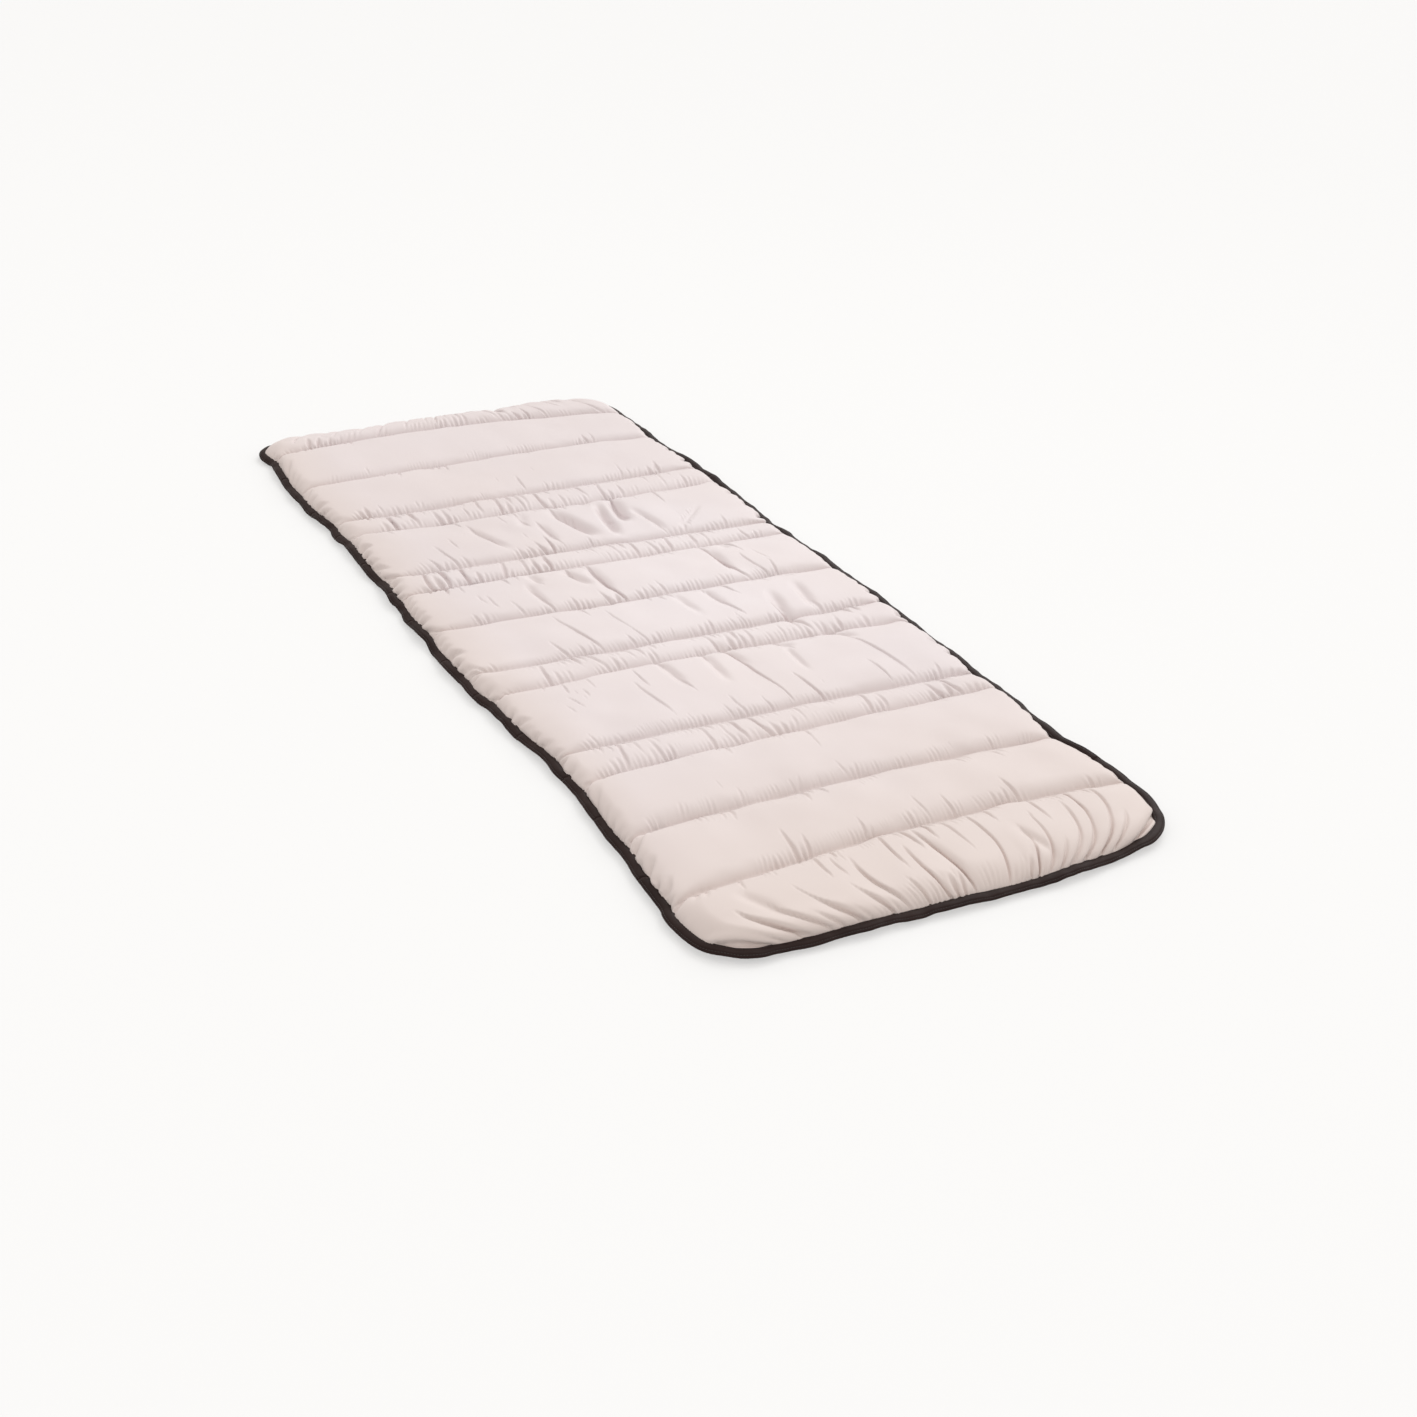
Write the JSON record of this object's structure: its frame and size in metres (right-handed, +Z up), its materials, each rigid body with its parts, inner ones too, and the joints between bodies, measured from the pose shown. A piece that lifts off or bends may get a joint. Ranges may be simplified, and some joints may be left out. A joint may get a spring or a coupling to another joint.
{
  "type": "futon mattress",
  "caption": "Thin quilted futon mattress pad with stitched cross channels of loose filling and a dark bound edge, which bends at every seam and rolls up.",
  "frame": {"origin": "on the floor under the middle of the pad, lying flat", "axes": "+X across the pad, +Y along it from the foot end to the head end, +Z up out of the top cover"},
  "size_m": [0.8, 2, 0.036],
  "materials": {
    "cover_top": "brushed microfibre, faint sheen",
    "cover_underside": "brushed microfibre, matt",
    "filling": "loose polyester fibre",
    "edge_binding": "folded satin tape"
  },
  "bodies": {
    "channel_01": {"top_cover_01": "cover_top", "underside_cover_01": "cover_underside", "filling_01": "filling", "edge_binding_01": "edge_binding"},
    "channel_02": {"top_cover_02": "cover_top", "underside_cover_02": "cover_underside", "filling_02": "filling", "edge_binding_02": "edge_binding"},
    "channel_03": {"top_cover_03": "cover_top", "underside_cover_03": "cover_underside", "filling_03": "filling", "edge_binding_03": "edge_binding"},
    "channel_04": {"top_cover_04": "cover_top", "underside_cover_04": "cover_underside", "filling_04": "filling", "edge_binding_04": "edge_binding"},
    "channel_05": {"top_cover_05": "cover_top", "underside_cover_05": "cover_underside", "filling_05": "filling", "edge_binding_05": "edge_binding"},
    "channel_06": {"top_cover_06": "cover_top", "underside_cover_06": "cover_underside", "filling_06": "filling", "edge_binding_06": "edge_binding"},
    "channel_07": {"top_cover_07": "cover_top", "underside_cover_07": "cover_underside", "filling_07": "filling", "edge_binding_07": "edge_binding"},
    "channel_08": {"top_cover_08": "cover_top", "underside_cover_08": "cover_underside", "filling_08": "filling", "edge_binding_08": "edge_binding"},
    "channel_09": {"top_cover_09": "cover_top", "underside_cover_09": "cover_underside", "filling_09": "filling", "edge_binding_09": "edge_binding"},
    "channel_10": {"top_cover_10": "cover_top", "underside_cover_10": "cover_underside", "filling_10": "filling", "edge_binding_10": "edge_binding"},
    "channel_11": {"top_cover_11": "cover_top", "underside_cover_11": "cover_underside", "filling_11": "filling", "edge_binding_11": "edge_binding"},
    "channel_12": {"top_cover_12": "cover_top", "underside_cover_12": "cover_underside", "filling_12": "filling", "edge_binding_12": "edge_binding"},
    "channel_13": {"top_cover_13": "cover_top", "underside_cover_13": "cover_underside", "filling_13": "filling", "edge_binding_13": "edge_binding"},
    "channel_14": {"top_cover_14": "cover_top", "underside_cover_14": "cover_underside", "filling_14": "filling", "edge_binding_14": "edge_binding"}
  },
  "joints": [
    {"name": "seam_01_bend", "type": "hinge", "parent": "channel_02", "child": "channel_01", "pos_m": [0, -0.86, 0.012], "axis": [-1, 0, 0], "range_deg": [-20, 40]},
    {"name": "seam_02_bend", "type": "hinge", "parent": "channel_03", "child": "channel_02", "pos_m": [0, -0.705, 0.012], "axis": [-1, 0, 0], "range_deg": [-20, 55]},
    {"name": "seam_03_bend", "type": "hinge", "parent": "channel_04", "child": "channel_03", "pos_m": [0, -0.54, 0.012], "axis": [-1, 0, 0], "range_deg": [-20, 25]},
    {"name": "seam_04_bend", "type": "hinge", "parent": "channel_05", "child": "channel_04", "pos_m": [0, -0.465, 0.012], "axis": [-1, 0, 0], "range_deg": [-20, 45]},
    {"name": "seam_05_bend", "type": "hinge", "parent": "channel_06", "child": "channel_05", "pos_m": [0, -0.255, 0.012], "axis": [-1, 0, 0], "range_deg": [-20, 50]},
    {"name": "seam_06_bend", "type": "hinge", "parent": "channel_07", "child": "channel_06", "pos_m": [0, -0.175, 0.012], "axis": [-1, 0, 0], "range_deg": [-20, 30]},
    {"name": "seam_07_bend", "type": "hinge", "parent": "channel_07", "child": "channel_08", "pos_m": [0, -0.005, 0.012], "axis": [1, 0, 0], "range_deg": [-20, 70]},
    {"name": "seam_08_bend", "type": "hinge", "parent": "channel_08", "child": "channel_09", "pos_m": [0, 0.16, 0.012], "axis": [1, 0, 0], "range_deg": [-20, 25]},
    {"name": "seam_09_bend", "type": "hinge", "parent": "channel_09", "child": "channel_10", "pos_m": [0, 0.225, 0.012], "axis": [1, 0, 0], "range_deg": [-20, 60]},
    {"name": "seam_10_bend", "type": "hinge", "parent": "channel_10", "child": "channel_11", "pos_m": [0, 0.43, 0.012], "axis": [1, 0, 0], "range_deg": [-20, 55]},
    {"name": "seam_11_bend", "type": "hinge", "parent": "channel_11", "child": "channel_12", "pos_m": [0, 0.51, 0.012], "axis": [1, 0, 0], "range_deg": [-20, 60]},
    {"name": "seam_12_bend", "type": "hinge", "parent": "channel_12", "child": "channel_13", "pos_m": [0, 0.705, 0.012], "axis": [1, 0, 0], "range_deg": [-20, 90]},
    {"name": "seam_13_bend", "type": "hinge", "parent": "channel_13", "child": "channel_14", "pos_m": [0, 0.885, 0.012], "axis": [1, 0, 0], "range_deg": [-20, 75]}
  ]
}
